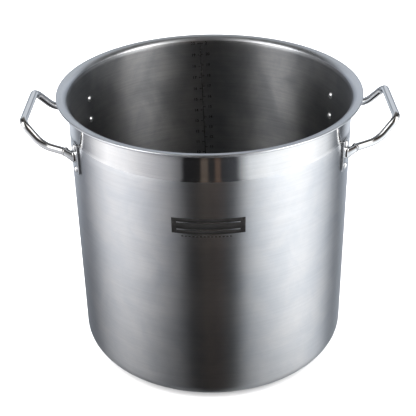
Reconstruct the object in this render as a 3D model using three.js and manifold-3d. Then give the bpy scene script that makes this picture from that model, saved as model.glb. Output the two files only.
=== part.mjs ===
// Commercial stock pot: a deep-drawn shell with a flared pouring rim, a layered base,
// and two rod handles, each held by two riveted brackets.
// Millimetres, +Z up. The origin is the centre of the underside, the handles stand on the
// X axis, and the front of the pot faces -Y.

import * as THREE from "three";
import { mergeVertices } from "three/addons/utils/BufferGeometryUtils.js";
import Module from "manifold-3d";

const wasm = await Module();
wasm.setup();

// ---- Driving dimensions ------------------------------------------------------------------

const INNER_DIAMETER = 300;
const INNER_DEPTH = 300;
const WALL = 1;
const BOTTOM_CORNER_RADIUS = 16;

const RIM_OVERHANG = 11.2;
const RIM_BEND_RADIUS = 7;
const RIM_LIP_RADIUS = 1.25;
const RIM_RISE_DEGREES = 9.5;

const CORE_THICKNESS = 4;
const CAP_THICKNESS = 0.8;
const CAP_INSET = 3;
const CAP_EDGE_RADIUS = 2;
const BRAZE_GAP = 0.1;

const ROD_DIAMETER = 8.5;
const GRIP_SPAN = 80.8;
const GRIP_REACH = 43;
const GRIP_DROP = 20.6;
const GRIP_CORNER_RADIUS = 10;
const LEG_BEND_REACH = 23.7;
const LEG_BEND_DROP = 42.5;
const LEG_BEND_RADIUS = 28;
const LEG_ROOT_DROP = 47.2;

const BRACKET_DEGREES = 24;
const LEG_ROOT_OFFSET_DEGREES = 0.8;
const BRACKET_DROP = 51.4;
const PLATE_WIDTH = 16;
const PLATE_THICKNESS = 1.8;
const PLATE_END_MARGIN = 4.8;
const PLATE_CORNER_RADIUS = 3;
const BOSS_BASE_RADIUS = 6.3;
const BOSS_PAD_HEIGHT = 2.6;
const BOSS_PAD_DRAFT = 0.5;
const BOSS_LENGTH = 13.8;
const BOSS_TIP_ALLOWANCE = 0.3;

const RIVET_PITCH = 25;
const RIVET_SHANK_DIAMETER = 5;
const RIVET_HEAD_DIAMETER = 7.5;
const RIVET_HEAD_HEIGHT = 2;

const SEAT_GAP = 0.3;
const CUT_CLEARANCE = 5;

// ---- Fineness of the curved faces --------------------------------------------------------

const SHELL_SEGMENTS = 72;
const RING_SEGMENTS = 180;
const RIVET_SEGMENTS = 12;
const ROD_SIDES = 12;
const ROD_STEPS = 66;
const BOSS_SEGMENTS = 16;
const CORNER_STEPS = 5;
const BEND_STEPS = 5;
const LIP_STEPS = 8;
const EDGE_STEPS = 3;
const MERGE_DISTANCE = 1e-4;

// ---- Sizes that follow from the ones above -----------------------------------------------

const innerRadius = INNER_DIAMETER / 2;
const outerRadius = innerRadius + WALL;
const shellBottom = CAP_THICKNESS + CORE_THICKNESS + 2 * BRAZE_GAP;
const rimTop = shellBottom + WALL + INNER_DEPTH;
const capRadius = outerRadius - BOTTOM_CORNER_RADIUS - CAP_INSET;

const plateInside = outerRadius + SEAT_GAP;
const plateOutside = plateInside + PLATE_THICKNESS;
const plateLength = RIVET_PITCH + 2 * PLATE_END_MARGIN;
const rivetHoleRadius = RIVET_SHANK_DIAMETER / 2 + SEAT_GAP;
const rivetHeadRadius = RIVET_HEAD_DIAMETER / 2;
const bossFootRadius = BOSS_BASE_RADIUS + BOSS_PAD_DRAFT;
const bossBaseDrop = BRACKET_DROP - RIVET_PITCH / 2 + rivetHeadRadius + SEAT_GAP + bossFootRadius;
const bossTipRadius = ROD_DIAMETER / 2 + BOSS_TIP_ALLOWANCE;

// ---- Finishes ----------------------------------------------------------------------------

const satinSteel = new THREE.MeshStandardMaterial({ color: 0xa9adb2, roughness: 0.38, metalness: 1 });
const polishedSteel = new THREE.MeshStandardMaterial({ color: 0xcfd2d6, roughness: 0.12, metalness: 1 });
const coreAluminium = new THREE.MeshStandardMaterial({ color: 0xb9bbbd, roughness: 0.55, metalness: 1 });
const baseSteel = new THREE.MeshStandardMaterial({ color: 0x9fa2a6, roughness: 0.42, metalness: 1 });

// ---- Helpers -----------------------------------------------------------------------------

const radians = THREE.MathUtils.degToRad;

// Points on a circular arc in the profile plane (x = radius, y = height), both ends included.
function arc(centreX, centreY, radius, fromDegrees, toDegrees, steps) {
  const points = [];
  for (let i = 0; i <= steps; i += 1) {
    const angle = radians(fromDegrees + ((toDegrees - fromDegrees) * i) / steps);
    const x = centreX + radius * Math.cos(angle);
    const y = centreY + radius * Math.sin(angle);
    points.push(new THREE.Vector2(x, y));
  }
  return points;
}

// A solid of revolution about Z from a profile that runs from the axis to the axis.
function turned(profile, segments) {
  return new THREE.LatheGeometry(profile, segments).rotateX(Math.PI / 2);
}

function solidOf(geometry) {
  const bare = geometry.clone();
  bare.deleteAttribute("normal");
  bare.deleteAttribute("uv");
  const merged = mergeVertices(bare, MERGE_DISTANCE);
  const index = merged.index.array;
  const kept = [];
  for (let i = 0; i < index.length; i += 3) {
    const [a, b, c] = [index[i], index[i + 1], index[i + 2]];
    if (a !== b && b !== c && c !== a) {
      kept.push(a, b, c);
    }
  }
  const vertProperties = merged.attributes.position.array;
  return new wasm.Manifold(new wasm.Mesh({ numProp: 3, vertProperties, triVerts: new Uint32Array(kept) }));
}

function geometryOf(solid) {
  const made = solid.getMesh();
  const indexed = new THREE.BufferGeometry();
  indexed.setAttribute("position", new THREE.BufferAttribute(made.vertProperties, 3));
  indexed.setIndex(new THREE.BufferAttribute(made.triVerts, 1));
  const flat = indexed.toNonIndexed();
  flat.computeVertexNormals();
  return flat;
}

function named(name, geometry, material) {
  const mesh = new THREE.Mesh(geometry, material);
  mesh.name = name;
  return mesh;
}

// A circular bend between two straight runs in space.
class Bend extends THREE.Curve {
  constructor(corner, towardsStart, towardsEnd, radius) {
    super();
    const opening = towardsStart.angleTo(towardsEnd);
    const bisector = towardsStart.clone().add(towardsEnd).normalize();
    this.sweep = Math.PI - opening;
    this.setback = radius / Math.tan(opening / 2);
    this.radius = radius;
    this.centre = corner.clone().addScaledVector(bisector, radius / Math.sin(opening / 2));
    this.start = corner.clone().addScaledVector(towardsStart, this.setback);
    this.end = corner.clone().addScaledVector(towardsEnd, this.setback);
    this.spoke = this.start.clone().sub(this.centre).normalize();
    this.along = towardsStart.clone().negate();
  }

  getPoint(t, target = new THREE.Vector3()) {
    const angle = this.sweep * t;
    target.copy(this.centre);
    target.addScaledVector(this.spoke, this.radius * Math.cos(angle));
    return target.addScaledVector(this.along, this.radius * Math.sin(angle));
  }
}

// A path of straight runs through the corners, with a bend of its own radius at each one.
function bentPath(points, bendRadii) {
  const path = new THREE.CurvePath();
  let from = points[0];
  for (let i = 1; i < points.length - 1; i += 1) {
    const back = points[i - 1].clone().sub(points[i]).normalize();
    const onward = points[i + 1].clone().sub(points[i]).normalize();
    const bend = new Bend(points[i], back, onward, bendRadii[i - 1]);
    path.add(new THREE.LineCurve3(from, bend.start));
    path.add(bend);
    from = bend.end;
  }
  path.add(new THREE.LineCurve3(from, points[points.length - 1]));
  return path;
}

// ---- Handle line -------------------------------------------------------------------------
// One leg of the right-hand handle, on its +Y side: it leaves the wall at the bracket,
// runs outwards almost level, bends up and meets the grip, which lies parallel to Y.

const legRootAngle = radians(BRACKET_DEGREES + LEG_ROOT_OFFSET_DEGREES);
const legRoot = new THREE.Vector3(
  outerRadius * Math.cos(legRootAngle),
  outerRadius * Math.sin(legRootAngle),
  rimTop - LEG_ROOT_DROP,
);
const gripCorner = new THREE.Vector3(outerRadius + GRIP_REACH, GRIP_SPAN / 2, rimTop - GRIP_DROP);
const bendX = outerRadius + LEG_BEND_REACH;
const bendShare = (bendX - legRoot.x) / (gripCorner.x - legRoot.x);
const legBend = new THREE.Vector3(
  bendX,
  THREE.MathUtils.lerp(legRoot.y, gripCorner.y, bendShare),
  rimTop - LEG_BEND_DROP,
);
const legDirection = legBend.clone().sub(legRoot).normalize();
const bossTip = legRoot.clone().addScaledVector(legDirection, BOSS_LENGTH);
const rodEnd = bossTip.clone().addScaledVector(legDirection, SEAT_GAP);

// ---- Shell -------------------------------------------------------------------------------

// The lip is a rolled bead that hangs below the flare, flush with the flare's top face.
function shellProfile() {
  const lipX = outerRadius + RIM_OVERHANG - RIM_LIP_RADIUS;
  const lipY = rimTop - RIM_LIP_RADIUS;
  const lipStep = THREE.MathUtils.radToDeg(Math.asin((RIM_LIP_RADIUS - WALL) / RIM_LIP_RADIUS));
  const bendOver = RIM_BEND_RADIUS + WALL;
  const bendX = outerRadius + RIM_BEND_RADIUS;
  const rise = radians(RIM_RISE_DEGREES);
  const flareFall = (lipX - bendX) * Math.tan(rise) + (bendOver - RIM_LIP_RADIUS) / Math.cos(rise);
  const bendY = lipY - flareFall;
  const upright = 90 + RIM_RISE_DEGREES;
  const cornerX = outerRadius - BOTTOM_CORNER_RADIUS;
  const cornerY = shellBottom + BOTTOM_CORNER_RADIUS;
  const insideCorner = BOTTOM_CORNER_RADIUS - WALL;
  return [
    new THREE.Vector2(0, shellBottom),
    ...arc(cornerX, cornerY, BOTTOM_CORNER_RADIUS, -90, 0, CORNER_STEPS),
    ...arc(bendX, bendY, RIM_BEND_RADIUS, 180, upright, BEND_STEPS),
    ...arc(lipX, lipY, RIM_LIP_RADIUS, RIM_RISE_DEGREES - 180 - lipStep, upright, LIP_STEPS),
    ...arc(bendX, bendY, bendOver, upright, 180, BEND_STEPS),
    ...arc(cornerX, cornerY, insideCorner, 0, -90, CORNER_STEPS),
    new THREE.Vector2(0, shellBottom + WALL),
  ];
}

function rivetHeights() {
  const middle = rimTop - BRACKET_DROP;
  return { upper: middle + RIVET_PITCH / 2, lower: middle - RIVET_PITCH / 2 };
}

// A round cutter that crosses the wall at a rivet, pointing out from the axis of the pot.
function rivetCutter(degrees, height) {
  const length = 2 * (PLATE_THICKNESS + CUT_CLEARANCE);
  const cutter = new THREE.CylinderGeometry(rivetHoleRadius, rivetHoleRadius, length, RIVET_SEGMENTS);
  cutter.rotateZ(-Math.PI / 2);
  cutter.translate(outerRadius, 0, height);
  cutter.rotateZ(radians(degrees));
  return solidOf(cutter);
}

const bracketAngles = {
  right_back: BRACKET_DEGREES,
  right_front: -BRACKET_DEGREES,
  left_front: 180 + BRACKET_DEGREES,
  left_back: 180 - BRACKET_DEGREES,
};

function shell() {
  let solid = solidOf(turned(shellProfile(), SHELL_SEGMENTS));
  for (const degrees of Object.values(bracketAngles)) {
    for (const height of Object.values(rivetHeights())) {
      solid = solid.subtract(rivetCutter(degrees, height));
    }
  }
  return named("pot_shell", geometryOf(solid), satinSteel);
}

// ---- Base --------------------------------------------------------------------------------

function baseCap() {
  const top = shellBottom - BRAZE_GAP;
  const insideRadius = capRadius - CAP_THICKNESS;
  const insideEdge = CAP_EDGE_RADIUS - CAP_THICKNESS;
  const profile = [
    new THREE.Vector2(0, 0),
    ...arc(capRadius - CAP_EDGE_RADIUS, CAP_EDGE_RADIUS, CAP_EDGE_RADIUS, -90, 0, EDGE_STEPS),
    new THREE.Vector2(capRadius, top),
    new THREE.Vector2(insideRadius, top),
    ...arc(insideRadius - insideEdge, CAP_EDGE_RADIUS, insideEdge, 0, -90, EDGE_STEPS),
    new THREE.Vector2(0, CAP_THICKNESS),
  ];
  return named("base_cap", turned(profile, SHELL_SEGMENTS), baseSteel);
}

function baseCore() {
  const bottom = CAP_THICKNESS + BRAZE_GAP;
  const top = bottom + CORE_THICKNESS;
  const radius = capRadius - CAP_THICKNESS - SEAT_GAP;
  const bevel = CAP_EDGE_RADIUS;
  const profile = [
    new THREE.Vector2(0, bottom),
    new THREE.Vector2(radius - bevel, bottom),
    new THREE.Vector2(radius, bottom + bevel),
    new THREE.Vector2(radius, top),
    new THREE.Vector2(0, top),
  ];
  return named("base_core", turned(profile, SHELL_SEGMENTS), coreAluminium);
}

// ---- Brackets ----------------------------------------------------------------------------
// The bracket is made at its own place beside the +Y leg of the right-hand handle.

function plateOutline() {
  const halfWidth = PLATE_WIDTH / 2;
  const halfLength = plateLength / 2;
  const r = PLATE_CORNER_RADIUS;
  const outline = new THREE.Shape();
  outline.moveTo(-halfWidth + r, -halfLength);
  outline.absarc(halfWidth - r, -halfLength + r, r, -Math.PI / 2, 0);
  outline.absarc(halfWidth - r, halfLength - r, r, 0, Math.PI / 2);
  outline.absarc(-halfWidth + r, halfLength - r, r, Math.PI / 2, Math.PI);
  outline.absarc(-halfWidth + r, -halfLength + r, r, Math.PI, 1.5 * Math.PI);
  return outline;
}

// A ring between two radii that spans a height, which bends the plates to the wall.
function ring(insideRadius, outsideRadius, bottom, top) {
  const profile = [
    new THREE.Vector2(insideRadius, bottom),
    new THREE.Vector2(outsideRadius, bottom),
    new THREE.Vector2(outsideRadius, top),
    new THREE.Vector2(insideRadius, top),
    new THREE.Vector2(insideRadius, bottom),
  ];
  return solidOf(turned(profile, RING_SEGMENTS));
}

// Turns a shape drawn in XY and extruded along Z so that Z points out from the pot's axis
// at the bracket, and Y points up.
function seatAtBracket(geometry, radius, height) {
  geometry.rotateX(Math.PI / 2);
  geometry.rotateZ(Math.PI / 2);
  geometry.translate(radius, 0, height);
  return geometry.rotateZ(radians(BRACKET_DEGREES));
}

// The point of the handle line, seen from above, at a distance from the axis of the pot.
function handleLineAt(radius) {
  const half = legRoot.x * legDirection.x + legRoot.y * legDirection.y;
  const flat = legDirection.x ** 2 + legDirection.y ** 2;
  const along = (-half + Math.sqrt(half ** 2 + flat * (radius ** 2 - outerRadius ** 2))) / flat;
  return legRoot.clone().addScaledVector(legDirection, along);
}

// A tapered round piece between two circles, each at its own place and facing its own way.
function taper(start, end) {
  const cone = new THREE.CylinderGeometry(end.radius, start.radius, 1, BOSS_SEGMENTS);
  const position = cone.attributes.position;
  const point = new THREE.Vector3();
  for (let i = 0; i < position.count; i += 1) {
    point.fromBufferAttribute(position, i);
    const frame = point.y > 0 ? end.frame : start.frame;
    point.setY(0).applyMatrix4(frame);
    position.setXYZ(i, point.x, point.y, point.z);
  }
  return solidOf(cone);
}

// The boss is a low round pad on the plate that carries a cone, and the cone ends square
// to the handle rod.
function boss() {
  const padTop = handleLineAt(plateOutside + BOSS_PAD_HEIGHT).setZ(rimTop - bossBaseDrop);
  const outwards = padTop.clone().setZ(0).normalize();
  const padFoot = padTop.clone().addScaledVector(outwards, -BOSS_PAD_HEIGHT - PLATE_THICKNESS);
  const foot = { radius: bossFootRadius, frame: circleFrame(padFoot, outwards) };
  const shoulder = { radius: BOSS_BASE_RADIUS, frame: circleFrame(padTop, outwards) };
  const tip = { radius: bossTipRadius, frame: circleFrame(bossTip, legDirection) };
  return taper(foot, shoulder).add(taper(shoulder, tip));
}

// A frame whose Y axis is the direction given and whose X axis is level.
function circleFrame(centre, direction) {
  const level = new THREE.Vector3(direction.y, -direction.x, 0).normalize();
  const across = new THREE.Vector3().crossVectors(level, direction);
  return new THREE.Matrix4().makeBasis(level, direction, across).setPosition(centre);
}

function bracketGeometry() {
  const middle = rimTop - BRACKET_DROP;
  const depth = PLATE_THICKNESS + CUT_CLEARANCE;
  const blank = new THREE.ExtrudeGeometry(plateOutline(), {
    depth,
    bevelEnabled: false,
    curveSegments: EDGE_STEPS,
  });
  seatAtBracket(blank, outerRadius - WALL, middle);
  const bend = ring(plateInside, plateOutside, middle - plateLength, middle + plateLength);
  const plate = solidOf(blank).intersect(bend);
  const beyond = plateOutside + BOSS_LENGTH + CUT_CLEARANCE;
  const clearOfWall = ring(plateInside, beyond, middle - plateLength, middle + plateLength);
  let solid = plate.add(boss().intersect(clearOfWall));
  for (const height of Object.values(rivetHeights())) {
    solid = solid.subtract(rivetCutter(BRACKET_DEGREES, height));
  }
  return geometryOf(solid);
}

// ---- Rivets ------------------------------------------------------------------------------
// The rivet's length runs along Y from the inside head to the outside head, as distances
// from the axis of the pot.

function rivetGeometry() {
  const insideSeat = innerRadius - SEAT_GAP;
  const outsideSeat = plateOutside + SEAT_GAP;
  const shank = RIVET_SHANK_DIAMETER / 2;
  const h = RIVET_HEAD_HEIGHT;
  // The heads are caps of a sphere through the rim of the head and its crown.
  const sphere = (rivetHeadRadius ** 2 + h ** 2) / (2 * h);
  const edge = THREE.MathUtils.radToDeg(Math.asin(1 - h / sphere));
  const profile = [
    ...arc(0, insideSeat - h + sphere, sphere, -90, -edge, EDGE_STEPS),
    new THREE.Vector2(shank, insideSeat),
    new THREE.Vector2(shank, outsideSeat),
    ...arc(0, outsideSeat + h - sphere, sphere, edge, 90, EDGE_STEPS),
  ];
  profile[0].setX(0);
  profile[profile.length - 1].setX(0);
  return new THREE.LatheGeometry(profile, RIVET_SEGMENTS).rotateZ(-Math.PI / 2);
}

// ---- Handles -----------------------------------------------------------------------------

function handleGeometry() {
  const mirrored = (v) => new THREE.Vector3(v.x, -v.y, v.z);
  const corners = [rodEnd, legBend, gripCorner, mirrored(gripCorner), mirrored(legBend), mirrored(rodEnd)];
  const bends = [LEG_BEND_RADIUS, GRIP_CORNER_RADIUS, GRIP_CORNER_RADIUS, LEG_BEND_RADIUS];
  const section = [];
  for (let i = 0; i < ROD_SIDES; i += 1) {
    const angle = (2 * Math.PI * i) / ROD_SIDES;
    section.push(new THREE.Vector2(Math.cos(angle), Math.sin(angle)).multiplyScalar(ROD_DIAMETER / 2));
  }
  return new THREE.ExtrudeGeometry(new THREE.Shape(section), {
    steps: ROD_STEPS,
    extrudePath: bentPath(corners, bends),
  });
}

// ---- Assembly ----------------------------------------------------------------------------

const pot = new THREE.Group();
pot.name = "stock_pot";
pot.add(shell(), baseCore(), baseCap());

const rod = handleGeometry();
const rightHandle = named("right_handle", rod, polishedSteel);
const leftHandle = named("left_handle", rod, polishedSteel);
leftHandle.rotation.z = Math.PI;
pot.add(rightHandle, leftHandle);

// The front brackets are mirror images of the back ones.
const bracket = bracketGeometry();
for (const side of ["right", "left"]) {
  const sideGroup = new THREE.Group();
  sideGroup.scale.x = side === "right" ? 1 : -1;
  for (const end of ["back", "front"]) {
    const mesh = named(`${side}_${end}_bracket`, bracket, polishedSteel);
    mesh.scale.y = end === "back" ? 1 : -1;
    sideGroup.add(mesh);
  }
  pot.add(sideGroup);
}

const rivet = rivetGeometry();
for (const [place, degrees] of Object.entries(bracketAngles)) {
  for (const [level, height] of Object.entries(rivetHeights())) {
    const mesh = named(`${place}_${level}_rivet`, rivet, polishedSteel);
    mesh.rotation.z = radians(degrees);
    mesh.position.z = height;
    pot.add(mesh);
  }
}

export default pot;
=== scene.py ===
import math

import bpy
from mathutils import Matrix, Vector


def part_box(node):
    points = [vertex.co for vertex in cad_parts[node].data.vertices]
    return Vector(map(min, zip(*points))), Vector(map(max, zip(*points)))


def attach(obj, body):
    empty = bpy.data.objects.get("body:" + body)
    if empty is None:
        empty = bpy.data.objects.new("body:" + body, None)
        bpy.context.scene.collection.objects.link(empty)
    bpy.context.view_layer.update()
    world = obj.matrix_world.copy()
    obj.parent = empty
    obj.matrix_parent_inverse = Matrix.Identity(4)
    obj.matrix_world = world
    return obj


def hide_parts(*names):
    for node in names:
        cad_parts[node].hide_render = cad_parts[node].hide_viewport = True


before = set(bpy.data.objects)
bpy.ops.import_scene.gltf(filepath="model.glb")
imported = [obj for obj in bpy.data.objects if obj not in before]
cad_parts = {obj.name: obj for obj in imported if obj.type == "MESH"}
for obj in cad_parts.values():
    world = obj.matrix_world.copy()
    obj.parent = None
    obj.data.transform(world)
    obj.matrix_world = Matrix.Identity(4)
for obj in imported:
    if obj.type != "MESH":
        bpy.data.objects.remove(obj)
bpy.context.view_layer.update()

MM = 0.001
TAU = 2 * math.pi

# ---- Sizes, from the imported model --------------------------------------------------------

shell_low, shell_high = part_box("pot_shell")
cap_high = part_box("base_cap")[1]
handle_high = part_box("right_handle")[1]

WALL = 1 * MM
RIM_OVERHANG = 11.2 * MM
RIM_BEND_RADIUS = 7 * MM
RIM_LIP_RADIUS = 1.25 * MM
RIM_RISE = math.radians(9.5)
CORNER_RADIUS = 16 * MM
MIRROR_BAND = 34 * MM

RIM_TOP = shell_high.z
SHELL_BOTTOM = shell_low.z
OUTER = shell_high.x - RIM_OVERHANG
INNER = OUTER - WALL

CAP_RADIUS = cap_high.x
CAP_TOP = cap_high.z
CAP_THICKNESS = 0.8 * MM
CAP_EDGE = 2 * MM
CAP_LIP = 0.25 * MM

ROD = 4.25 * MM
GRIP_SPAN = 80.8 * MM
GRIP = Vector((handle_high.x - ROD, GRIP_SPAN / 2, handle_high.z - ROD))
GRIP_BEND = 10 * MM
LEG_BEND_REACH = 23.7 * MM
LEG_BEND_DROP = 42.5 * MM
LEG_BEND = 28 * MM
LEG_ROOT_DROP = 47.2 * MM

BRACKET = math.radians(24)
LEG_ROOT_ANGLE = BRACKET + math.radians(0.8)
BRACKET_DROP = 51.4 * MM
PLATE_HALF_WIDTH = 8 * MM
PLATE_HALF_LENGTH = 17.3 * MM
PLATE_THICKNESS = 1.8 * MM
PLATE_CORNER = 3 * MM
PLATE_EDGE = 0.5 * MM
PLATE_CHAMFER = 0.2 * MM
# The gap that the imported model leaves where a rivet, plate or rod meets its seat.
SEAT = 0.3 * MM
PAD_HEIGHT = 2.6 * MM
PAD_RADIUS = 6.3 * MM
BOSS_LENGTH = 13.8 * MM
RIVET_PITCH = 25 * MM
RIVET_HEAD = 3.75 * MM
RIVET_HEIGHT = 2 * MM
RIVET_SHANK = 2.5 * MM
RIVET_FOOT = 0.25 * MM
RIVET_SIDES = 32

PLATE_INSIDE = OUTER + SEAT
PLATE_OUTSIDE = PLATE_INSIDE + PLATE_THICKNESS
BRACKET_MIDDLE = RIM_TOP - BRACKET_DROP
PAD_TO_RIVET = 0.5 * MM
PAD_DROP = BRACKET_DROP - RIVET_PITCH / 2 + RIVET_HEAD + SEAT + PAD_RADIUS + PAD_TO_RIVET

MIRRORS = {
    "right_back": (1, 1),
    "right_front": (1, -1),
    "left_front": (-1, -1),
    "left_back": (-1, 1),
}

# ---- Node helpers ------------------------------------------------------------------------


class Graph:
    """A material's or the world's node tree, built from short calls."""

    def __init__(self, owner):
        owner.use_nodes = True
        self.tree = owner.node_tree
        self.tree.nodes.clear()

    def add(self, kind, inputs=None, **settings):
        node = self.tree.nodes.new(kind)
        for key, value in settings.items():
            setattr(node, key, value)
        for key, value in (inputs or {}).items():
            self.put(node.inputs[key], value)
        return node

    def put(self, socket, value):
        if isinstance(value, bpy.types.NodeSocket):
            self.tree.links.new(value, socket)
        else:
            socket.default_value = value

    def finish(self, shader, kind="ShaderNodeOutputMaterial"):
        """Connects the last shader to the output."""
        self.put(self.add(kind).inputs["Surface"], shader.outputs[0])

    def place(self):
        """The object's coordinates, whole and as x, y and z."""
        vector = self.add("ShaderNodeTexCoord").outputs["Object"]
        return vector, *self.split(vector)

    def split(self, vector):
        parts = self.add("ShaderNodeSeparateXYZ", {"Vector": vector})
        return tuple(parts.outputs[axis] for axis in "XYZ")

    def noise(self, vector, scale, detail, roughness, **more):
        inputs = {"Vector": vector, "Scale": scale, "Detail": detail, "Roughness": roughness}
        return self.add("ShaderNodeTexNoise", {**inputs, **more}).outputs["Fac"]

    def math(self, operation, *values):
        node = self.add("ShaderNodeMath", operation=operation)
        for socket, value in zip(node.inputs, values):
            self.put(socket, value)
        return node.outputs[0]

    def length(self, x, y):
        squares = (self.math("MULTIPLY", value, value) for value in (x, y))
        return self.math("SQRT", self.math("ADD", *squares))

    def ramp(self, value, stops):
        node = self.add("ShaderNodeValToRGB", {"Fac": value})
        points = node.color_ramp.elements
        while len(points) > 1:
            points.remove(points[-1])
        points[0].position = stops[0][0]
        points[0].color = rgba(stops[0][1])
        for place, colour in stops[1:]:
            points.new(place).color = rgba(colour)
        return node.outputs["Color"]

    def mix(self, share, first, second, blend="MIX"):
        node = self.add("ShaderNodeMix", data_type="RGBA", blend_type=blend)
        for name, value in (("Factor", share), ("A", first), ("B", second)):
            kind = "VALUE" if name == "Factor" else "RGBA"
            socket = next(s for s in node.inputs if s.name == name and s.type == kind)
            self.put(socket, value)
        return next(s for s in node.outputs if s.type == "RGBA")

    def between(self, value, low, high, to_low=0.0, to_high=1.0):
        node = self.add("ShaderNodeMapRange", {"Value": value})
        node.interpolation_type = "SMOOTHSTEP"
        for key, number in (
            ("From Min", low),
            ("From Max", high),
            ("To Min", to_low),
            ("To Max", to_high),
        ):
            node.inputs[key].default_value = number
        return node.outputs["Result"]


def rgba(colour):
    if isinstance(colour, (int, float)):
        colour = (colour,) * 3
    return (*colour, 1.0)


# ---- Steel -------------------------------------------------------------------------------

NOISE_RANGE = (0.3, 0.7)  # the part of a noise's values that nearly all points fall in
LINE_ROUGHNESS = 0.12  # how much a fine line changes the roughness, as a share
RELIEF = 0.02 * MM
QUARTER_TURN = 0.25


def steel(name, colour, roughness, turned=0.0, streak=0.0, blotch=0.0, bump=0.0, tint=0.0):
    """Stainless steel. turned is how far the fine lines round the pot stretch a highlight
    across them. streak, blotch and bump are the strengths of lines, smears and relief, and
    tint is how far the smears shift between cool and warm."""
    material = bpy.data.materials.new(name)
    g = Graph(material)
    place, x, y, z = g.place()
    radius = g.length(x, y)
    # Along a wall only the height counts, and on a flat face only the radius.
    across = g.math("ADD", radius, z)

    # Round the pot, the noise moves on slowly with the direction from the axis.
    away = g.math("MAXIMUM", radius, 1 * MM)
    round_x, round_y = g.math("DIVIDE", x, away), g.math("DIVIDE", y, away)

    def lines(turns, spacing, detail=3.0):
        vector = g.add(
            "ShaderNodeCombineXYZ",
            {
                "X": g.math("MULTIPLY", round_x, turns),
                "Y": g.math("MULTIPLY", round_y, turns),
                "Z": g.math("MULTIPLY", across, 1 / spacing),
            },
        ).outputs[0]
        return g.noise(vector, 1.0, detail, 0.6)

    fine = lines(4.0, 0.5 * MM)
    coarse = lines(1.6, 2.6 * MM, 2.0)
    smear = g.noise(place, 26.0, 6.0, 0.68, Distortion=0.4)
    both = g.math("ADD", g.math("MULTIPLY", fine, 0.55), g.math("MULTIPLY", coarse, 0.45))
    line_share = g.between(both, *NOISE_RANGE)
    smear_share = g.between(smear, *NOISE_RANGE)

    dark = tuple(c * (1 - streak) for c in colour)
    light = tuple(min(1.0, c * (1 + streak * 0.5)) for c in colour)
    lined = g.mix(line_share, rgba(dark), rgba(light))
    cool = (1 - tint, 1 - 0.4 * tint, 1.0)
    warm = (1.0, 1 - 0.35 * tint, 1 - tint)
    tone = g.mix(smear_share, rgba(cool), rgba(warm))
    worn = g.mix(smear_share, rgba(1 - 1.6 * streak), rgba(1.0))
    coloured = g.mix(1.0, g.mix(1.0, lined, worn, "MULTIPLY"), tone, "MULTIPLY")

    rough_low, rough_high = roughness * (1 - blotch), roughness * (1 + blotch)
    rough = g.math(
        "ADD",
        g.between(smear, *NOISE_RANGE, rough_low, rough_high),
        g.math("MULTIPLY", g.math("SUBTRACT", fine, 0.5), LINE_ROUGHNESS * roughness),
    )
    shader = g.add(
        "ShaderNodeBsdfPrincipled",
        {"Base Color": coloured, "Metallic": 1.0, "Roughness": rough},
    )
    if turned:
        tangent = g.add("ShaderNodeTangent", direction_type="RADIAL", axis="Z").outputs[0]
        shader.inputs["Anisotropic"].default_value = turned
        shader.inputs["Anisotropic Rotation"].default_value = QUARTER_TURN
        g.put(shader.inputs["Tangent"], tangent)
    if bump:
        relief = {"Height": both, "Strength": bump, "Distance": RELIEF}
        g.put(shader.inputs["Normal"], g.add("ShaderNodeBump", relief).outputs[0])
    g.finish(shader)
    return material


STEEL = (0.612, 0.624, 0.648)
satin_outside = steel("satin_outside", STEEL, 0.33, 0.86, 0.06, 0.05, 0.12, 0.03)
# The inside is the same steel as the outside but has a darker colour: painted shade for the dim
# inside of the pot.
satin_inside_painted_shade = steel("satin_inside_painted_shade", (0.372, 0.378, 0.392), 0.40, 0.90, 0.12, 0.10, 0.3, 0.03)
satin_floor = steel("satin_floor", (0.52, 0.515, 0.51), 0.34, 0.5, 0.14, 0.12, 0.6, 0.03)
mirror_band = steel("mirror_band", (0.62, 0.62, 0.625), 0.085, 0.0, 0.04, 0.25, 0.08, 0.02)
rim_satin = steel("rim_satin", (0.64, 0.66, 0.69), 0.32, 0.3, 0.06, 0.15, 0.25, 0.02)
rod_polish = steel("rod_polish", (0.64, 0.645, 0.655), 0.10, 0.0, 0.03, 0.3, 0.08, 0.02)
bracket_polish = steel("bracket_polish", (0.64, 0.65, 0.665), 0.12, 0.0, 0.04, 0.3, 0.1, 0.02)
rivet_polish = steel("rivet_polish", (0.80, 0.80, 0.81), 0.36, 0.0, 0.03, 0.3, 0.06, 0.02)
weld_bead = steel("weld_bead", (0.55, 0.55, 0.56), 0.22, 0.0, 0.12, 0.3, 0.3, 0.05)
base_steel = steel("base_steel", (0.50, 0.50, 0.505), 0.36, 0.5, 0.14, 0.15, 0.6, 0.04)
core_aluminium = steel("core_aluminium", (0.62, 0.625, 0.63), 0.45, 0.3, 0.10, 0.15, 0.5, 0.02)


def etched(name, colour):
    """A dark mark etched into steel: matt and slightly uneven."""
    material = bpy.data.materials.new(name)
    g = Graph(material)
    place = g.place()[0]
    fine = g.noise(place, 900.0, 3.0, 0.7)
    wide = g.noise(place, 60.0, 3.0, 0.6)
    uneven = g.math("ADD", g.math("MULTIPLY", fine, 0.5), g.math("MULTIPLY", wide, 0.5))
    shade = g.ramp(
        uneven,
        [(0.35, tuple(c * 0.6 for c in colour)), (0.65, tuple(c * 1.4 for c in colour))],
    )
    rough = g.between(fine, *NOISE_RANGE, 0.45, 0.65)
    relief = {"Height": fine, "Strength": 0.3, "Distance": RELIEF}
    shader = g.add(
        "ShaderNodeBsdfPrincipled",
        {
            "Base Color": shade,
            "Metallic": 0.3,
            "Specular IOR Level": 0.25,
            "Roughness": rough,
            "Normal": g.add("ShaderNodeBump", relief).outputs[0],
        },
    )
    g.finish(shader)
    return material


etched_dark = etched("etched_dark", (0.010, 0.0096, 0.0096))

# ---- Mesh helpers ------------------------------------------------------------------------

ON_AXIS = 1e-9


def linked(name, data):
    thing = bpy.data.objects.new(name, data)
    bpy.context.scene.collection.objects.link(thing)
    return thing


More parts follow.
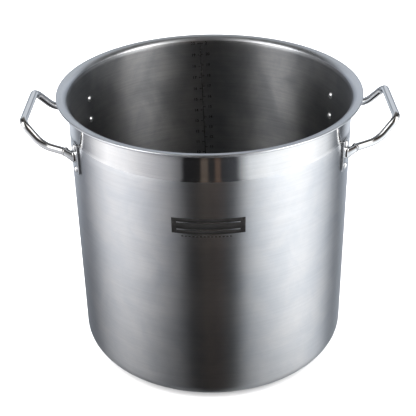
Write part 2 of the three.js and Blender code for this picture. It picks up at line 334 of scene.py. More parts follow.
def made(name, points, faces, materials, zones=None, replaced=(), slot="polished_steel"):
    """A piece from points and faces, smooth, riding on the pot."""
    mesh = bpy.data.meshes.new(name)
    mesh.from_pydata([tuple(p) for p in points], [], faces)
    for material in materials:
        mesh.materials.append(material)
    for number, polygon in enumerate(mesh.polygons):
        polygon.use_smooth = True
        if zones:
            polygon.material_index = zones[number]
    mesh.update()
    piece = linked(name, mesh)
    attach(piece, "root")
    if replaced:
        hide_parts(*replaced)
    return piece


def arc(centre_r, centre_z, radius, start, end, steps):
    """Points on an arc in the (radius, height) plane, both ends included; degrees."""
    points = []
    for i in range(steps + 1):
        a = math.radians(start + (end - start) * i / steps)
        points.append((centre_r + radius * math.cos(a), centre_z + radius * math.sin(a)))
    return points


def run(start, end, steps):
    """Points between two ends, without the ends."""
    return [
        tuple(a + (b - a) * i / steps for a, b in zip(start, end)) for i in range(1, steps)
    ]


def revolve(profile, segments, zone_changes=None):
    """A body from a profile of (radius, height), closed where the profile starts and ends on
    the axis. zone_changes gives the material from a profile point onwards."""
    points, rings = [], []
    for radius, height in profile:
        if radius < ON_AXIS:
            rings.append([len(points)])
            points.append((0, 0, height))
            continue
        ring = []
        for k in range(segments):
            a = TAU * k / segments
            ring.append(len(points))
            points.append((radius * math.cos(a), radius * math.sin(a), height))
        rings.append(ring)
    faces, zones, zone = [], [], 0
    for i in range(len(rings) - 1):
        zone = (zone_changes or {}).get(i, zone)
        low, high = rings[i], rings[i + 1]
        for k in range(segments):
            n = (k + 1) % segments
            if len(low) == 1:
                face = (low[0], high[n], high[k])
            elif len(high) == 1:
                face = (low[k], low[n], high[0])
            else:
                face = (low[k], low[n], high[n], high[k])
            faces.append(face)
            zones.append(zone)
    return points, faces, zones


def loft(rings):
    """A closed body through rings of equally many points, with flat ends."""
    count = len(rings[0])
    points = [p for ring in rings for p in ring]
    faces = []
    for i in range(len(rings) - 1):
        for k in range(count):
            n = (k + 1) % count
            a, b = i * count, (i + 1) * count
            faces.append((a + k, a + n, b + n, b + k))
    faces.append(tuple(reversed(range(count))))
    last = (len(rings) - 1) * count
    faces.append(tuple(last + k for k in range(count)))
    return points, faces


def circle(centre, direction, radius, sides, level=None):
    """Points of a circle that faces along a direction. It starts on the side named by level,
    or else at the same height as its centre."""
    direction = direction.normalized()
    if level is None:
        level = Vector((direction.y, -direction.x, 0))
    side = (level - direction * level.dot(direction)).normalized()
    up = direction.cross(side)
    turns = [TAU * k / sides for k in range(sides)]
    return [
        centre + side * (radius * math.cos(a)) + up * (radius * math.sin(a)) for a in turns
    ]


def mirrored(points, faces, sign_x, sign_y):
    """A body in another quarter of the pot, its faces still turned outwards."""
    moved = [(p[0] * sign_x, p[1] * sign_y, p[2]) for p in points]
    if sign_x * sign_y < 0:
        faces = [tuple(reversed(f)) for f in faces]
    return moved, faces


# ---- Body --------------------------------------------------------------------------------

SHELL_SIDES = 288
CAP_SIDES = 192
BAND_BOTTOM = RIM_TOP - MIRROR_BAND
BAND_STEP = 0.06 * MM
BAND_CHAMFER = 0.25 * MM
BAND_TO_BEND = 0.6 * MM
RIM_STEPS = 12  # the part of the upper bend that is finished like the rim

# The bend between the wall and the flare, and the bead at the flare's edge.
LIP_R = OUTER + RIM_OVERHANG - RIM_LIP_RADIUS
LIP_Z = RIM_TOP - RIM_LIP_RADIUS
BEND_R = OUTER + RIM_BEND_RADIUS
BEND_OVER = RIM_BEND_RADIUS + WALL
FLARE_RISE = (LIP_R - BEND_R) * math.tan(RIM_RISE)
BEND_Z = LIP_Z - FLARE_RISE - (BEND_OVER - RIM_LIP_RADIUS) / math.cos(RIM_RISE)


def body():
    """The drawn shell in one closed profile: underside, wall, mirror band, rim and inside."""
    lip_step = math.degrees(math.asin((RIM_LIP_RADIUS - WALL) / RIM_LIP_RADIUS))
    rise = math.degrees(RIM_RISE)
    corner_r, corner_z = OUTER - CORNER_RADIUS, SHELL_BOTTOM + CORNER_RADIUS
    inside_floor = SHELL_BOTTOM + WALL
    in_corner = CORNER_RADIUS - WALL
    polished = OUTER - BAND_STEP

    under = [(0, SHELL_BOTTOM)] + run((0, SHELL_BOTTOM), (corner_r, SHELL_BOTTOM), 12)
    corner = arc(corner_r, corner_z, CORNER_RADIUS, -90, 0, 14)
    wall_start, wall_end = corner[-1], (OUTER, BAND_BOTTOM)
    wall = run(wall_start, wall_end, 26) + [wall_end]
    band_start = (polished, BAND_BOTTOM + BAND_CHAMFER)
    band_end = (polished, BEND_Z - BAND_TO_BEND)
    band = [band_start] + run(band_start, band_end, 6) + [band_end]
    under_bend = arc(BEND_R, BEND_Z, RIM_BEND_RADIUS, 180, 90 + rise, 14)
    lip = arc(LIP_R, LIP_Z, RIM_LIP_RADIUS, rise - 180 - lip_step, rise + 90, 20)
    over_bend = arc(BEND_R, BEND_Z, BEND_OVER, 90 + rise, 180, 18)
    inside_top = over_bend[-1]
    inside_corner = arc(corner_r, corner_z, in_corner, 0, -90, 14)
    inside = run(inside_top, inside_corner[0], 30)
    floor = run(inside_corner[-1], (0, inside_floor), 14) + [(0, inside_floor)]
    flare_under = run(under_bend[-1], lip[0], 4)
    flare_over = run(lip[-1], over_bend[0], 4)

    profile, changes = [], {}
    for zone, part in (
        (0, under + corner + wall),
        (1, band + under_bend + flare_under),
        (2, lip + flare_over + over_bend[:RIM_STEPS]),
        (3, over_bend[RIM_STEPS:] + inside),
        (4, inside_corner + floor),
    ):
        changes[max(0, len(profile) - 1)] = zone
        profile += part
    points, faces, zones = revolve(profile, SHELL_SIDES, changes)
    materials = [satin_outside, mirror_band, rim_satin, satin_inside_painted_shade, satin_floor]
    return made("pot_body", points, faces, materials, zones, ["pot_shell"], "satin_steel")


body()

# ---- Base --------------------------------------------------------------------------------


def base():
    """The cap over the aluminium core, with a rounded edge and a rounded lip."""
    inside = CAP_RADIUS - CAP_THICKNESS
    inside_edge = CAP_EDGE - CAP_THICKNESS
    edge = arc(CAP_RADIUS - CAP_EDGE, CAP_EDGE, CAP_EDGE, -90, 0, 8)
    lip = CAP_LIP
    profile = (
        [(0, 0)]
        + run((0, 0), edge[0], 16)
        + edge
        + arc(CAP_RADIUS - lip, CAP_TOP - lip, lip, 0, 90, 4)
        + arc(inside + lip, CAP_TOP - lip, lip, 90, 180, 4)
        + arc(inside - inside_edge, CAP_EDGE, inside_edge, 0, -90, 6)
        + run((inside - inside_edge, CAP_THICKNESS), (0, CAP_THICKNESS), 8)
        + [(0, CAP_THICKNESS)]
    )
    points, faces, zones = revolve(profile, CAP_SIDES)
    made("base_disc_cap", points, faces, [base_steel], zones, ["base_cap"], "base_steel")


base()
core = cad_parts["base_core"]
core.data.materials.clear()
core.data.materials.append(core_aluminium)

# ---- Handles -----------------------------------------------------------------------------

ROD_SIDES = 28
ROD_END_ROUND = 0.4 * MM

leg_root = Vector(
    (
        OUTER * math.cos(LEG_ROOT_ANGLE),
        OUTER * math.sin(LEG_ROOT_ANGLE),
        RIM_TOP - LEG_ROOT_DROP,
    )
)
leg_bend_x = OUTER + LEG_BEND_REACH
leg_share = (leg_bend_x - leg_root.x) / (GRIP.x - leg_root.x)
leg_bend = Vector(
    (leg_bend_x, leg_root.y + (GRIP.y - leg_root.y) * leg_share, RIM_TOP - LEG_BEND_DROP)
)
leg_direction = (leg_bend - leg_root).normalized()
boss_tip = leg_root + leg_direction * BOSS_LENGTH
rod_end = boss_tip + leg_direction * SEAT


def bent(corners, radii, bend_steps, run_steps):
    """Points along straight runs with a round bend at each inner corner."""
    path = [corners[0]]
    for i in range(1, len(corners) - 1):
        corner = corners[i]
        back = (corners[i - 1] - corner).normalized()
        onward = (corners[i + 1] - corner).normalized()
        half = back.angle(onward) / 2
        setback = radii[i - 1] / math.tan(half)
        centre = corner + (back + onward).normalized() * (radii[i - 1] / math.sin(half))
        start = corner + back * setback
        path += [path[-1].lerp(start, k / run_steps) for k in range(1, run_steps)]
        spoke, sweep = start - centre, math.pi - 2 * half
        for k in range(bend_steps + 1):
            a = sweep * k / bend_steps
            path.append(centre + spoke * math.cos(a) - back * (radii[i - 1] * math.sin(a)))
    path += [path[-1].lerp(corners[-1], k / run_steps) for k in range(1, run_steps + 1)]
    return path


def rod(path, sides, end_round):
    """A round rod along a path, its cut ends slightly rounded."""
    level, rings = Vector((0, 0, 1)), []
    for i, point in enumerate(path):
        ahead = path[min(i + 1, len(path) - 1)]
        behind = path[max(i - 1, 0)]
        direction = (ahead - behind).normalized()
        level = (level - direction * level.dot(direction)).normalized()
        if i == 0:
            rings.append(circle(point, direction, ROD - end_round, sides, level))
            point = point + direction * end_round
        if i == len(path) - 1:
            inner = point - direction * end_round
            rings.append(circle(inner, direction, ROD, sides, level))
            rings.append(circle(point, direction, ROD - end_round, sides, level))
            continue
        rings.append(circle(point, direction, ROD, sides, level))
    return loft(rings)


def flip_y(v):
    return Vector((v.x, -v.y, v.z))


handle_corners = [rod_end, leg_bend, GRIP, flip_y(GRIP), flip_y(leg_bend), flip_y(rod_end)]
handle_path = bent(handle_corners, [LEG_BEND, GRIP_BEND, GRIP_BEND, LEG_BEND], 18, 8)
rod_points, rod_faces = rod(handle_path, ROD_SIDES, ROD_END_ROUND)
made("right_rod_handle", rod_points, rod_faces, [rod_polish], None, ["right_handle"])
left_points = [(-p[0], -p[1], p[2]) for p in rod_points]
made("left_rod_handle", left_points, rod_faces, [rod_polish], None, ["left_handle"])

# ---- Brackets ----------------------------------------------------------------------------


def plate_outline(inset):
    """The plate's edge as (across, up) points, evenly stepped along the short sides."""
    w, h, r = PLATE_HALF_WIDTH - inset, PLATE_HALF_LENGTH - inset, PLATE_CORNER - inset
    points = []
    for centre_u, centre_v, start in (
        (w - r, -h + r, -90),
        (w - r, h - r, 0),
        (-w + r, h - r, 90),
        (-w + r, -h + r, 180),
    ):
        points += arc(centre_u, centre_v, r, start, start + 90, 8)
        u, v = points[-1]
        after = {-90: (u, v + 2 * (h - r)), 0: (-u, v), 90: (u, v - 2 * (h - r)), 180: (-u, v)}
        points += run((u, v), after[start], 6)
    return points


def on_wall(u, v, out):
    """A point beside the wall: across and up from the bracket's middle, out from its seat."""
    a = BRACKET + u / OUTER
    radius = PLATE_INSIDE + out
    return Vector((radius * math.cos(a), radius * math.sin(a), BRACKET_MIDDLE + v))


def plate():
    """The bracket's plate, from its curved back to its curved face, with a rounded edge."""
    rings = []
    for scale in (0.02, 0.3, 0.6, 0.85):
        rings.append([on_wall(u * scale, v * scale, 0) for u, v in plate_outline(0)])
    rings.append([on_wall(u, v, 0) for u, v in plate_outline(PLATE_CHAMFER)])
    rings.append([on_wall(u, v, PLATE_CHAMFER) for u, v in plate_outline(0)])
    edge_start = PLATE_THICKNESS - PLATE_EDGE
    for step in range(6):
        a = math.radians(90 * step / 5)
        inset = PLATE_EDGE * (1 - math.cos(a))
        out = edge_start + PLATE_EDGE * math.sin(a)
        rings.append([on_wall(u, v, out) for u, v in plate_outline(inset)])
    top = plate_outline(PLATE_EDGE)
    for scale in (0.93, 0.75, 0.5, 0.25, 0.02):
        rings.append([on_wall(u * scale, v * scale, PLATE_THICKNESS) for u, v in top])
    return loft(rings)


def line_at(radius):
    """The point of the handle's leg line, seen from above, at a distance from the axis."""
    half = leg_root.x * leg_direction.x + leg_root.y * leg_direction.y
    flat = leg_direction.x**2 + leg_direction.y**2
    along = (math.sqrt(half**2 + flat * (radius**2 - OUTER**2)) - half) / flat
    return leg_root + leg_direction * along


BOSS_SIDES = 40
BOSS_STEPS = 14
WELD_SIDES = 48
WELD_RIPPLES = 14

# In mm: the radii where the pad ends and where the rod starts, and the hollow between them.
PAD_TOP = 6.1
BOSS_TIP = 4.7
BOSS_HOLLOW = 0.2


def boss():
    """A round pad on the plate that narrows to the rod. Heights and radii are in mm."""
    top = line_at(PLATE_OUTSIDE + PAD_HEIGHT)
    top.z = RIM_TOP - PAD_DROP
    outwards = Vector((top.x, top.y, 0)).normalized()
    rings = []
    for height, radius in (
        (-0.8, 7.45),
        (0.05, 7.35),
        (0.25, 7.0),
        (0.6, 6.78),
        (1.3, 6.66),
        (1.9, 6.55),
        (2.3, 6.4),
        (2.6, PAD_TOP),
    ):
        centre = top + outwards * (height * MM - PAD_HEIGHT)
        rings.append(circle(centre, outwards, radius * MM, BOSS_SIDES))
    for step in range(1, BOSS_STEPS + 1):
        share = step / BOSS_STEPS
        centre = top.lerp(boss_tip, share)
        direction = outwards.lerp(leg_direction, share)
        # Slightly hollow towards the rod, where the forging is drawn in.
        hollow = BOSS_HOLLOW * math.sin(math.pi * share)
        radius = (PAD_TOP + (BOSS_TIP - PAD_TOP) * share - hollow) * MM
        rings.append(circle(centre, direction, radius, BOSS_SIDES))
    end = boss_tip + leg_direction * 0.15 * MM
    rings.append(circle(end, leg_direction, 4.3 * MM, BOSS_SIDES))
    return loft(rings)


def weld():
    """The bead that joins the rod to the boss, rippled as a bead is. Rings are in mm."""
    rings = []
    for along, radius in (
        (-1.1, 4.2),
        (-1.0, 4.7),
        (-0.7, 4.9),
        (-0.2, 5.0),
        (0.3, 4.94),
        (0.8, 4.72),
        (1.2, 4.45),
        (1.4, 4.0),
    ):
        centre = boss_tip + leg_direction * along * MM
        ring = circle(centre, leg_direction, 1.0, WELD_SIDES)
        for k, point in enumerate(ring):
            wave = TAU * WELD_RIPPLES * k / WELD_SIDES + along * 2
            ripple = 0.05 * math.sin(wave) if -1 < along < 1 else 0
            ring[k] = centre + (point - centre) * ((radius + ripple) * MM)
        rings.append(ring)
    return loft(rings)


def joined(*bodies):
    """Several bodies as one list of points and one of faces."""
    points, faces = [], []
    for some_points, some_faces in bodies:
        start = len(points)
        points += some_points
        faces += [tuple(start + i for i in face) for face in some_faces]
    return points, faces


bracket_body = joined(plate(), boss())
weld_body = weld()
for place, (sign_x, sign_y) in MIRRORS.items():
    points, faces = mirrored(*bracket_body, sign_x, sign_y)
    replaced = [f"{place}_bracket"]
    made(f"{place}_bracket_plate", points, faces, [bracket_polish], None, replaced)
    points, faces = mirrored(*weld_body, sign_x, sign_y)
    made(f"{place}_weld", points, faces, [weld_bead])

# ---- Rivets ------------------------------------------------------------------------------


def rivet(angle, height):
    """A rivet with a domed head on each side of the wall, its length along the radius."""
    sphere = (RIVET_HEAD**2 + RIVET_HEIGHT**2) / (2 * RIVET_HEIGHT)
    edge = math.degrees(math.asin(1 - RIVET_HEIGHT / sphere))
    inside_seat = INNER - SEAT / 2
    outside_seat = PLATE_OUTSIDE + SEAT / 2
    inside_foot, outside_foot = inside_seat + RIVET_FOOT, outside_seat - RIVET_FOOT
    inside_dome = arc(0, inside_seat - RIVET_HEIGHT + sphere, sphere, -90, -edge, 12)
    outside_dome = arc(0, outside_seat + RIVET_HEIGHT - sphere, sphere, edge, 90, 12)
    profile = (
        [(0, inside_dome[0][1])]
        + inside_dome[1:]
        + [(RIVET_HEAD - RIVET_FOOT, inside_foot), (RIVET_SHANK, inside_foot)]
        + [(RIVET_SHANK, outside_foot), (RIVET_HEAD - RIVET_FOOT, outside_foot)]
        + outside_dome[:-1]
        + [(0, outside_dome[-1][1])]
    )
    points, faces, zones = revolve(profile, RIVET_SIDES)
    cos, sin = math.cos(angle), math.sin(angle)
    moved = [(z * cos - y * sin, z * sin + y * cos, height - x) for x, y, z in points]
    return moved, faces, zones


for place, (sign_x, sign_y) in MIRRORS.items():
    angle = math.atan2(sign_y * math.sin(BRACKET), sign_x * math.cos(BRACKET))
    for level, side in (("upper", 1), ("lower", -1)):
        points, faces, zones = rivet(angle, BRACKET_MIDDLE + side * RIVET_PITCH / 2)
        replaced = [f"{place}_{level}_rivet"]
        made(f"{place}_{level}_rivet_head", points, faces, [rivet_polish], zones, replaced)

# ---- Etched marks ------------------------------------------------------------------------

ETCH_NEAR = 0.03 * MM
ETCH_FAR = 0.06 * MM
ETCH_STEP = 2 * MM

# The scale leans a little: it keeps to its u only at the upright height.
SCALE_LEAN = 0.026
SCALE_UPRIGHT = RIM_TOP - 115 * MM
BEND_SHARE = 0.9  # how far over the bend a mark may climb


def patch(u_low, u_high, v_low, v_high, place):
    """A thin plate that follows a wall; place(u, v, depth) gives its points."""
    steps = max(1, math.ceil((u_high - u_low) / ETCH_STEP))
    points, faces = [], []
    for i in range(steps + 1):
        u = u_low + (u_high - u_low) * i / steps
        points += [
            place(u, v_low, ETCH_NEAR),
            place(u, v_high, ETCH_NEAR),
            place(u, v_high, ETCH_FAR),
            place(u, v_low, ETCH_FAR),
        ]
    for i in range(steps):
        a, b = 4 * i, 4 * i + 4
        for k in range(4):
            n = (k + 1) % 4
            faces.append((a + k, b + k, b + n, a + n))
    faces.append((0, 1, 2, 3))
    end = 4 * steps
    faces.append((end + 3, end + 2, end + 1, end))
    return points, faces


def on_inside(u, v, depth):
    """On the back of the inner wall and the bend above it: u to the right, v the height."""
    a = (u + SCALE_LEAN * (SCALE_UPRIGHT - v)) / INNER
    climb = min(max(v - BEND_Z, 0), BEND_SHARE * BEND_OVER)
    radius = BEND_R - math.sqrt(BEND_OVER**2 - climb**2) - depth
    return (radius * math.sin(a), radius * math.cos(a), v)


def on_front(u, v, depth):
    """On the front of the outer wall: u to the right, v is the height."""
    a = u / OUTER
    radius = OUTER + depth
    return (radius * math.sin(a), -radius * math.cos(a), v)


def digits(text, size, u_middle, v_middle):
    """Plain digits as a thin plate on the inner wall, centred on a point."""
    curve = bpy.data.curves.new("digits", "FONT")
    curve.body = text
    curve.size = size
    curve.align_x = "CENTER"
    curve.align_y = "CENTER"
    curve.resolution_u = 3
    curve.offset = size * 0.03
    curve.extrude = (ETCH_FAR - ETCH_NEAR) / 2
    thing = linked("digits", curve)
    bpy.context.view_layer.update()
    mesh = bpy.data.meshes.new_from_object(thing)
    middle = (ETCH_FAR + ETCH_NEAR) / 2
    points = [
        on_inside(u_middle + v.co.x, v_middle + v.co.y, middle + v.co.z) for v in mesh.vertices
    ]
    faces = [tuple(p.vertices) for p in mesh.polygons]
    bpy.data.objects.remove(thing)
    bpy.data.curves.remove(curve)
    bpy.data.meshes.remove(mesh)
    return points, faces


LINE_U = -8.4 * MM
LINE_HALF = 0.5 * MM
LINE_TOP = RIM_TOP - 6.2 * MM
LINE_BOTTOM = SHELL_BOTTOM + CORNER_RADIUS + 1 * MM
LINE_STEPS = 60
SCALE_TOP = RIM_TOP - 7.2 * MM
TICK_LENGTH = 3.4 * MM
TICK_HALF = 0.48 * MM
DIGIT_SIZE = 4.9 * MM


def scale_column(name, count, step, side, digit_u):
    """Marks and their digits on one side of the line, counting down from the top."""
    bodies = []
    for mark in range(count, 0, -1):
        v = SCALE_TOP - (count - mark) * step
        if v < LINE_BOTTOM:
            break
        ends = sorted((LINE_U, LINE_U + side * TICK_LENGTH))
        bodies.append(patch(*ends, v - TICK_HALF, v + TICK_HALF, on_inside))
        bodies.append(digits(str(mark), DIGIT_SIZE, digit_u, v))
    made(name, *joined(*bodies), [etched_dark], slot="satin_steel")


line_step = (LINE_TOP - LINE_BOTTOM) / LINE_STEPS
line = []
for i in range(LINE_STEPS):
    low = LINE_BOTTOM + i * line_step
    line.append(patch(LINE_U - LINE_HALF, LINE_U + LINE_HALF, low, low + line_step, on_inside))
made("scale_line", *joined(*line), [etched_dark], slot="satin_steel")
scale_column("litre_scale", 20, 14.5 * MM, -1, -17.2 * MM)
scale_column("quart_scale", 21, 13.8 * MM, 1, -0.2 * MM)

MARK_MIDDLE_U = -2.8 * MM
MARK_HALF_WIDTH = 36.5 * MM
MARK_MIDDLE_V = RIM_TOP - 82.8 * MM
MARK_HALF_HEIGHT = 8.6 * MM
MARK_END = 5 * MM
SLOT_OFFSET = 4 * MM
SLOT_HALF = 0.65 * MM
DASH = 2.2 * MM
DASH_GAP = 1.5 * MM
DASHES_HALF = 27 * MM
DASH_TOP = 2.2 * MM
DASH_BOTTOM = 3.4 * MM


def nameplate():
    """A plain etched bar with two open slots along it and a row of dashes below."""
    u0, u1 = MARK_MIDDLE_U - MARK_HALF_WIDTH, MARK_MIDDLE_U + MARK_HALF_WIDTH
    v0, v1 = MARK_MIDDLE_V - MARK_HALF_HEIGHT, MARK_MIDDLE_V + MARK_HALF_HEIGHT
    strip_low = MARK_MIDDLE_V - SLOT_OFFSET + SLOT_HALF
    strip_high = MARK_MIDDLE_V + SLOT_OFFSET - SLOT_HALF
    bodies = [
        patch(u0, u1, MARK_MIDDLE_V + SLOT_HALF + SLOT_OFFSET, v1, on_front),
        patch(u0, u1, strip_low, strip_high, on_front),
        patch(u0, u1, v0, MARK_MIDDLE_V - SLOT_HALF - SLOT_OFFSET, on_front),
        patch(u0, u0 + MARK_END, v0, v1, on_front),
        patch(u1 - MARK_END, u1, v0, v1, on_front),
    ]
    u = MARK_MIDDLE_U - DASHES_HALF
    while u + DASH < MARK_MIDDLE_U + DASHES_HALF:
        bodies.append(patch(u, u + DASH, v0 - DASH_BOTTOM, v0 - DASH_TOP, on_front))
        u += DASH + DASH_GAP
    made("front_mark", *joined(*bodies), [etched_dark], slot="satin_steel")


nameplate()

# ---- Floor, light and camera -------------------------------------------------------------

FLOOR_HALF = 6.0
FLOOR_Z = -0.05 * MM
SHADE_Z = -0.02 * MM
SHADE_RADIUS = 0.8
SHADE_SIDES = 48
EVEN_LIGHT = 3.0


def plain_floor():
    mesh = bpy.data.meshes.new("floor")
    signs = ((-1, -1), (1, -1), (1, 1), (-1, 1))
    corners = [(x * FLOOR_HALF, y * FLOOR_HALF, FLOOR_Z) for x, y in signs]
    mesh.from_pydata(corners, [], [(0, 1, 2, 3)])
    floor = linked("floor", mesh)
    material = bpy.data.materials.new("pale_floor")
    g = Graph(material)
    shader = g.add("ShaderNodeBsdfPrincipled", {"Base Color": rgba(0.86), "Roughness": 0.9})
    g.finish(shader)
    mesh.materials.append(material)
    floor.visible_glossy = False


def shade_disc():
    """A painted soft shadow of the pot on what it stands on, seen only in the steel's
    reflections. It is darker on the left than on the right and darkest towards the front.
    """
    profile = [(radius, SHADE_Z) for radius in (0.0, 0.12, 0.2, 0.4, SHADE_RADIUS)]
    points, faces, zones = revolve(profile, SHADE_SIDES)
    mesh = bpy.data.meshes.new("shade_disc")
    mesh.from_pydata(points, [], [tuple(reversed(face)) for face in faces])
    disc = linked("shade_disc", mesh)
    material = bpy.data.materials.new("shade_disc")
    g = Graph(material)
    x, y = g.place()[1:3]
    distance = g.length(x, y)
    reach = g.math("DIVIDE", distance, SHADE_RADIUS)
    # Painted shade: the share of the reflected surroundings that passes, on the left, on the
    # right and towards the front.
    left = g.ramp(reach, [(0.19, 0.38), (0.3, 0.37), (0.45, 0.50), (0.65, 0.78), (0.85, 0.97)])
    right = g.ramp(reach, [(0.19, 0.80), (0.3, 0.74), (0.45, 0.80), (0.65, 0.95), (0.82, 1.0)])
    front = g.ramp(reach, [(0.19, 0.42), (0.3, 0.46), (0.45, 0.58), (0.65, 0.80), (0.9, 1.0)])
    sideways = g.math("DIVIDE", x, g.math("MAXIMUM", distance, 1 * MM))
    turn = g.math("ABSOLUTE", g.math("ARCTAN2", x, g.math("MULTIPLY", y, -1.0)))
    ahead = g.between(turn, math.radians(25), math.radians(75), 1.0, 0.0)
    beside = g.mix(g.between(sideways, -0.5, 0.5), left, right)
    share = g.mix(ahead, beside, g.mix(1.0, beside, front, "MULTIPLY"))
    clear = g.add("ShaderNodeBsdfTransparent", {"Color": share})
    g.finish(clear)
    mesh.materials.append(material)
    for flag in ("visible_camera", "visible_diffuse", "visible_transmission", "visible_shadow"):
        setattr(disc, flag, False)


plain_floor()
shade_disc()


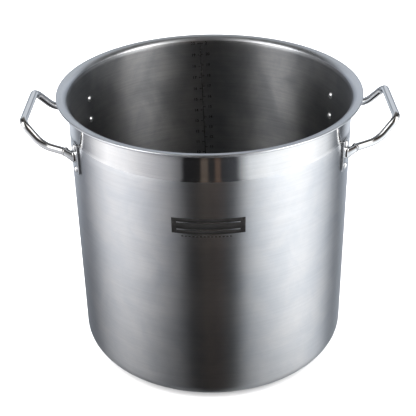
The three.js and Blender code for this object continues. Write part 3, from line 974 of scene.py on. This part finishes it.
def studio():
    """What surrounds the pot. The camera sees white and rough surfaces get even light. In the
    steel's reflections there are two broad soft boxes at the sides with a dark gap and two
    brown stripes at the front, a pale wall behind and a dim ceiling."""
    world = bpy.data.worlds.new("studio")
    bpy.context.scene.world = world
    # The surroundings differ between kinds of ray, so they are only met by scattered rays.
    world.cycles.sampling_method = "NONE"
    g = Graph(world)
    x, y, z = g.split(g.add("ShaderNodeTexCoord").outputs["Generated"])
    # 0.5 faces the front, -Y, and a quarter turn on from there, to +X, is 0.75.
    turn = g.math("DIVIDE", g.math("ARCTAN2", x, g.math("MULTIPLY", y, -1.0)), TAU)
    around = g.math("ADD", turn, 0.5)
    height = g.math("ADD", g.math("DIVIDE", g.math("ARCSINE", z), math.pi), 0.5)

    def at(degrees):
        return degrees / 360 + 0.5

    def tall(degrees):
        return degrees / 180 + 0.5

    sides = g.ramp(
        around,
        [
            (at(-180), (0.60, 0.65, 0.72)),
            (at(-150), (0.36, 0.39, 0.44)),
            (at(-138), (0.20, 0.21, 0.24)),
            (at(-126), (0.24, 0.25, 0.28)),
            (at(-114), (0.60, 0.61, 0.65)),
            (at(-104), (1.15, 1.16, 1.20)),
            (at(-90), (1.70, 1.70, 1.74)),
            (at(-72), (1.48, 1.48, 1.52)),
            (at(-52), (0.92, 0.92, 0.96)),
            (at(-34), (0.50, 0.50, 0.52)),
            (at(-24), (0.22, 0.22, 0.23)),
            (at(-21), (0.022, 0.022, 0.024)),
            (at(-8.4), (0.024, 0.023, 0.023)),
            (at(-8.2), (0.15, 0.12, 0.10)),
            (at(-2.6), (0.15, 0.12, 0.10)),
            (at(-2.4), (0.038, 0.037, 0.038)),
            (at(3.2), (0.038, 0.037, 0.038)),
            (at(3.4), (0.15, 0.105, 0.085)),
            (at(8.2), (0.15, 0.105, 0.085)),
            (at(8.4), (0.046, 0.047, 0.051)),
            (at(20.5), (0.08, 0.085, 0.095)),
            (at(24), (0.48, 0.50, 0.52)),
            (at(31), (1.06, 1.10, 1.14)),
            (at(48), (1.58, 1.62, 1.66)),
            (at(72), (1.78, 1.80, 1.82)),
            (at(90), (1.66, 1.69, 1.73)),
            (at(106), (1.15, 1.19, 1.24)),
            (at(118), (0.36, 0.385, 0.42)),
            (at(130), (0.06, 0.065, 0.075)),
            (at(146), (0.08, 0.085, 0.10)),
            (at(180), (0.60, 0.65, 0.72)),
        ],
    )
    # Higher up, the soft boxes are narrower and everything between them is dim.
    upper = g.ramp(
        around,
        [
            (at(-180), (0.20, 0.20, 0.20)),
            (at(-125), (0.08, 0.08, 0.08)),
            (at(-104), (0.12, 0.12, 0.12)),
            (at(-86), (0.50, 0.50, 0.49)),
            (at(-71), (7.4, 7.3, 7.2)),
            (at(-55), (6.4, 6.3, 6.2)),
            (at(-38), (0.6, 0.59, 0.58)),
            (at(-15), (0.07, 0.07, 0.07)),
            (at(0), (0.08, 0.075, 0.07)),
            (at(20), (0.20, 0.155, 0.13)),
            (at(40), (0.7, 0.66, 0.62)),
            (at(58), (7.0, 6.8, 6.6)),
            (at(73), (7.2, 7.0, 6.8)),
            (at(88), (0.40, 0.39, 0.38)),
            (at(104), (0.10, 0.10, 0.10)),
            (at(125), (0.07, 0.07, 0.07)),
            (at(180), (0.20, 0.20, 0.20)),
        ],
    )
    side_fall = g.ramp(
        height, [(tall(-90), 1.0), (tall(20), 1.0), (tall(48), 0.5), (tall(70), 0.12)]
    )
    back = g.ramp(
        height,
        [
            (tall(-90), (0.80, 0.86, 0.95)),
            (tall(-4), (0.80, 0.86, 0.94)),
            (tall(7), (0.42, 0.45, 0.50)),
            (tall(15), (0.40, 0.43, 0.48)),
            (tall(22), (0.95, 1.0, 1.08)),
            (tall(34), (0.66, 0.69, 0.73)),
            (tall(44), (0.30, 0.30, 0.30)),
            (tall(54), (0.16, 0.15, 0.14)),
            (tall(75), (0.12, 0.12, 0.12)),
        ],
    )
    behind = g.between(g.math("ABSOLUTE", turn), 125 / 360, 150 / 360)
    high = g.between(height, tall(8), tall(26))
    boxes = g.mix(high, sides, upper)
    seen = g.mix(behind, g.mix(1.0, boxes, side_fall, "MULTIPLY"), back)
    rays = g.add("ShaderNodeLightPath").outputs

    def background(colour, strength):
        inputs = {"Color": colour, "Strength": strength}
        return g.add("ShaderNodeBackground", inputs).outputs[0]

    def choose(share, first, second):
        return g.add("ShaderNodeMixShader", {0: share, 1: first, 2: second})

    even = background(rgba(1.0), EVEN_LIGHT)
    painted = background(seen, 1.0)
    white = background(rgba(1.0), 1.0)
    scattered = choose(rays["Is Glossy Ray"], even, painted)
    shown = choose(rays["Is Camera Ray"], scattered.outputs[0], white)
    g.finish(shown, "ShaderNodeOutputWorld")


studio()


def soft_box(name, place, size, power):
    """A square soft light that faces the middle of the pot."""
    data = bpy.data.lights.new(name, "AREA")
    data.size = size
    data.energy = power
    light = linked(name, data)
    aim = Vector((0, 0, RIM_TOP / 2)) - place
    turned = aim.to_track_quat("-Z", "Y").to_matrix().to_4x4()
    light.matrix_world = Matrix.Translation(place) @ turned
    light.visible_glossy = False


soft_box("soft_box_left", Vector((-1.7, -0.9, 1.9)), 1.6, 18)
soft_box("soft_box_right", Vector((1.7, -0.9, 1.9)), 1.6, 18)
soft_box("soft_box_back", Vector((0, 1.8, 2.2)), 1.8, 14)

# Angles in radians, the focal length in mm for a sensor 36 mm wide.
CAMERA_PLACE = Vector((0.00463, -0.94411, 0.70327))
CAMERA_PITCH = 0.53727
CAMERA_YAW = -0.00495
CAMERA_ROLL = -0.012215
FOCAL_LENGTH = 82.71
SENSOR_WIDTH = 36
FRAME_SHIFT = 12 / 416


def camera():
    data = bpy.data.cameras.new("camera")
    data.sensor_width = SENSOR_WIDTH
    data.lens = FOCAL_LENGTH
    data.shift_x = -FRAME_SHIFT
    data.shift_y = FRAME_SHIFT
    data.clip_start = 0.05
    data.clip_end = 50
    thing = linked("camera", data)
    sy, cy = math.sin(CAMERA_YAW), math.cos(CAMERA_YAW)
    sp, cp = math.sin(CAMERA_PITCH), math.cos(CAMERA_PITCH)
    right = Vector((cy, sy, 0))
    forward = Vector((-sy * cp, cy * cp, -sp))
    up = Vector((-sy * sp, cy * sp, cp))
    sr, cr = math.sin(CAMERA_ROLL), math.cos(CAMERA_ROLL)
    side = right * cr + up * sr
    above = up * cr - right * sr
    thing.matrix_world = Matrix(
        (
            (side.x, above.x, -forward.x, CAMERA_PLACE.x),
            (side.y, above.y, -forward.y, CAMERA_PLACE.y),
            (side.z, above.z, -forward.z, CAMERA_PLACE.z),
            (0, 0, 0, 1),
        )
    )
    bpy.context.scene.camera = thing


camera()
bpy.context.scene.view_settings.view_transform = "Standard"
